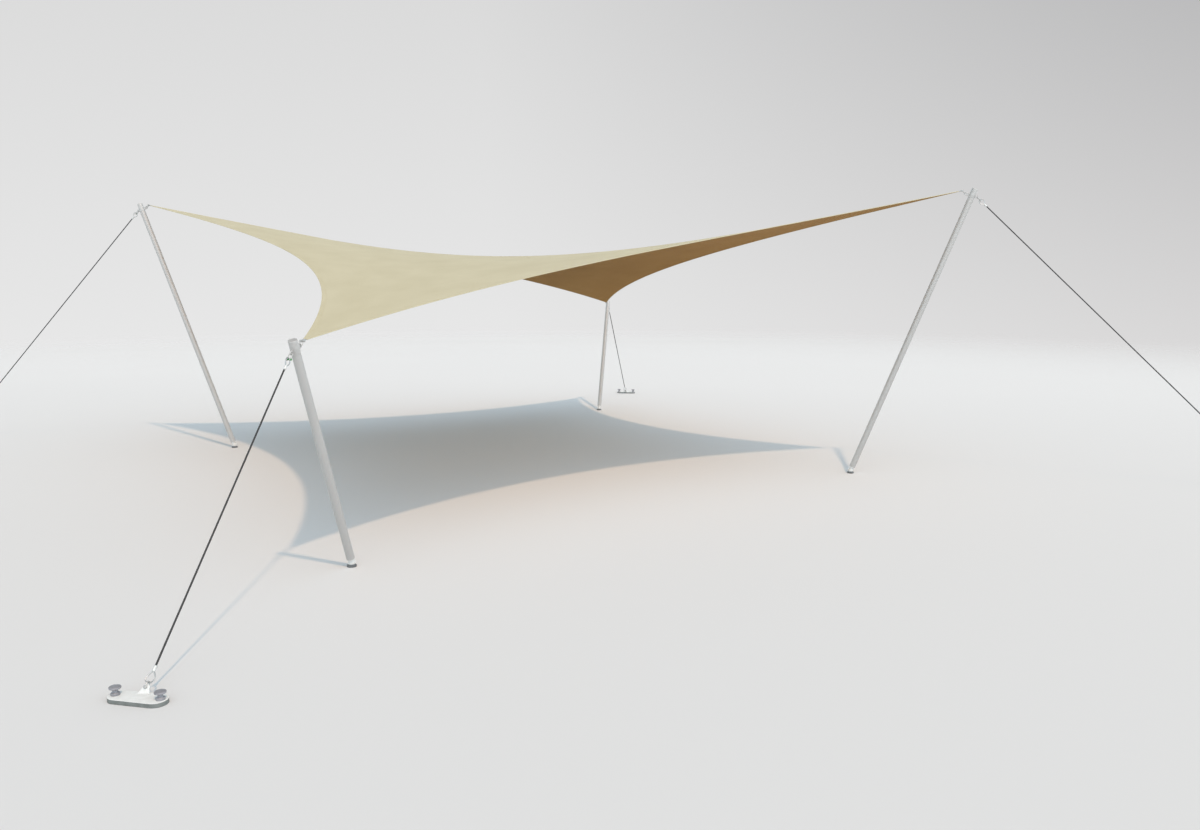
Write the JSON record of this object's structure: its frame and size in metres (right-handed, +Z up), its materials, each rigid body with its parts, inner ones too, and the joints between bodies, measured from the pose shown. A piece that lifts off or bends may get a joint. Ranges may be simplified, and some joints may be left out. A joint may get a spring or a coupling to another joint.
{
  "type": "stretch tent",
  "caption": "Free-standing saddle-shaped stretch tent: a tensioned sail between high and low leaning masts with ball feet, stay ropes and staked ground plates.",
  "frame": {"origin": "on the ground under the middle of the sail", "axes": "+Z up, X through the two high masts, Y through the two low masts"},
  "size_m": [23.33, 19.57, 4.4138],
  "materials": {
    "sail_cloth": "matte coated stretch cloth",
    "mast_aluminium": "mill finish, lightly brushed",
    "head_aluminium": "satin cast",
    "foot_plastic": "satin moulded",
    "shackle_steel": "galvanised forged",
    "stay_rope": "braided polyester",
    "plate_steel": "galvanised plate",
    "stake_steel": "dark forged"
  },
  "bodies": {
    "root": {"canopy": "sail_cloth", "high_right_base": "plate_steel", "high_right_mast": "mast_aluminium", "high_right_mast_head": "head_aluminium", "high_right_mast_foot": "foot_plastic", "high_right_sail_shackle": "shackle_steel", "high_right_sail_clamp": "shackle_steel", "high_right_upper_shackle": "shackle_steel", "high_right_stay_rope": "stay_rope", "high_right_lower_shackle": "shackle_steel", "high_right_ground_plate": "plate_steel", "high_right_stake_1": "stake_steel", "high_right_stake_2": "stake_steel", "low_back_base": "plate_steel", "low_back_mast": "mast_aluminium", "low_back_mast_head": "head_aluminium", "low_back_mast_foot": "foot_plastic", "low_back_sail_shackle": "shackle_steel", "low_back_sail_clamp": "shackle_steel", "low_back_upper_shackle": "shackle_steel", "low_back_stay_rope": "stay_rope", "low_back_lower_shackle": "shackle_steel", "low_back_ground_plate": "plate_steel", "low_back_stake_1": "stake_steel", "low_back_stake_2": "stake_steel", "high_left_base": "plate_steel", "high_left_mast": "mast_aluminium", "high_left_mast_head": "head_aluminium", "high_left_mast_foot": "foot_plastic", "high_left_sail_shackle": "shackle_steel", "high_left_sail_clamp": "shackle_steel", "high_left_upper_shackle": "shackle_steel", "high_left_stay_rope": "stay_rope", "high_left_lower_shackle": "shackle_steel", "high_left_ground_plate": "plate_steel", "high_left_stake_1": "stake_steel", "high_left_stake_2": "stake_steel", "low_front_base": "plate_steel", "low_front_mast": "mast_aluminium", "low_front_mast_head": "head_aluminium", "low_front_mast_foot": "foot_plastic", "low_front_sail_shackle": "shackle_steel", "low_front_sail_clamp": "shackle_steel", "low_front_upper_shackle": "shackle_steel", "low_front_stay_rope": "stay_rope", "low_front_lower_shackle": "shackle_steel", "low_front_ground_plate": "plate_steel", "low_front_stake_1": "stake_steel", "low_front_stake_2": "stake_steel"}
  },
  "joints": []
}
